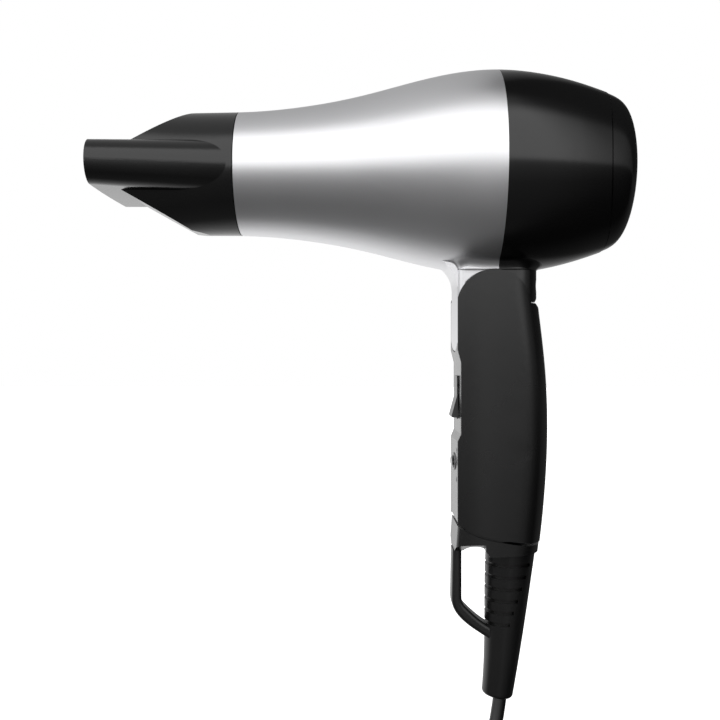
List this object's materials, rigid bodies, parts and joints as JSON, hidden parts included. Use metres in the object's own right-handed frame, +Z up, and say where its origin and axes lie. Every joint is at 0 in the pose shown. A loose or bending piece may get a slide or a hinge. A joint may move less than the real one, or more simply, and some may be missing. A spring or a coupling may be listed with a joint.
{
  "type": "hair dryer",
  "caption": "Folding hair dryer: barrel head with motor, fan and heater, turning concentrator nozzle, hinged switch handle, mains lead and plug.",
  "frame": {"origin": "middle of the handle's grip, where a hand holds it", "axes": "+Z up along the handle, the nozzle points to -X, the air intake is at +X, +Y across the handle"},
  "size_m": [0.2273, 0.0842, 0.4555],
  "materials": {
    "silver_shell": "metallic silver paint, gloss",
    "black_shell": "moulded, gloss",
    "black_panel": "moulded, satin gloss",
    "nozzle_black": "heat-resistant, gloss",
    "grey_ring": "satin",
    "grey_knob": "satin",
    "button_black": "gloss",
    "soft_rubber": "satin",
    "cord_jacket": "satin",
    "tie_strap": "woven",
    "plug_plastic": "moulded",
    "pin_metal": "nickel plated",
    "steel": "zinc plated",
    "switch_plastic": "moulded",
    "circuit_board": "laminate",
    "heat_plastic": "moulded",
    "mica": "mica sheet",
    "nichrome": "drawn wire",
    "brass_parts": "thermostat body",
    "motor_can": "plated can",
    "fan_plastic": "moulded",
    "filter_gauze": "fine gauze"
  },
  "bodies": {
    "handle": {"handle_shell": "black_shell", "hinge_pins": "steel", "switch_panel": "black_panel", "button_bezel": "grey_ring", "speed_switch": "switch_plastic", "cool_switch": "switch_plastic", "button_spring": "steel", "terminal_board": "circuit_board", "inner_cord": "cord_jacket", "cord_clamp": "switch_plastic", "clamp_screws": "steel", "end_cap": "black_panel", "cord_guard": "soft_rubber", "cord_lead": "cord_jacket", "cord_coil": "cord_jacket", "cord_tie": "tie_strap", "cord_tail": "cord_jacket", "plug_body": "plug_plastic", "plug_pins": "pin_metal"},
    "head": {"front_shell": "silver_shell", "rear_shell": "black_shell", "neck_screws": "steel", "outlet_grille": "heat_plastic", "heat_shield": "mica", "heater_former": "mica", "heater_coils": "nichrome", "thermostat": "brass_parts", "thermal_fuse": "steel", "motor": "motor_can", "motor_carrier": "heat_plastic", "rectifier_board": "circuit_board"},
    "fan": {"fan_impeller": "fan_plastic", "motor_shaft": "steel"},
    "intake_cap": {"intake_grille": "black_shell", "filter_mesh": "filter_gauze"},
    "snap_ring": {"nozzle_ring": "heat_plastic"},
    "nozzle": {"concentrator_nozzle": "nozzle_black"},
    "slider": {"speed_knob": "grey_knob", "switch_lever": "switch_plastic"},
    "cool_button": {"cool_button": "button_black"}
  },
  "joints": [
    {"name": "head_fold", "type": "hinge", "parent": "handle", "child": "head", "pos_m": [-0.0055, 0, 0.0475], "axis": [0, -1, 0], "range_deg": [0, 84]},
    {"name": "fan_spin", "type": "hinge", "parent": "head", "child": "fan", "pos_m": [0.02, 0, 0.1044], "axis": [1, 0, 0], "continuous": true},
    {"name": "filter_pull", "type": "slide", "parent": "head", "child": "intake_cap", "axis": [1, 0, 0], "range_m": [0, 0.025]},
    {"name": "nozzle_pull", "type": "slide", "parent": "head", "child": "snap_ring", "axis": [-1, 0, 0], "range_m": [0, 0.03]},
    {"name": "nozzle_turn", "type": "hinge", "parent": "snap_ring", "child": "nozzle", "pos_m": [-0.115, 0, 0.1044], "axis": [1, 0, 0], "continuous": true},
    {"name": "speed_slide", "type": "slide", "parent": "handle", "child": "slider", "axis": [0, 0, 1], "range_m": [-0.0035, 0.0035]},
    {"name": "cool_press", "type": "slide", "parent": "handle", "child": "cool_button", "axis": [1, 0, 0], "range_m": [0, 0.0015], "stiffness_N_per_m": 800, "springref_m": -0.001, "deforming": ["button_spring"]}
  ]
}
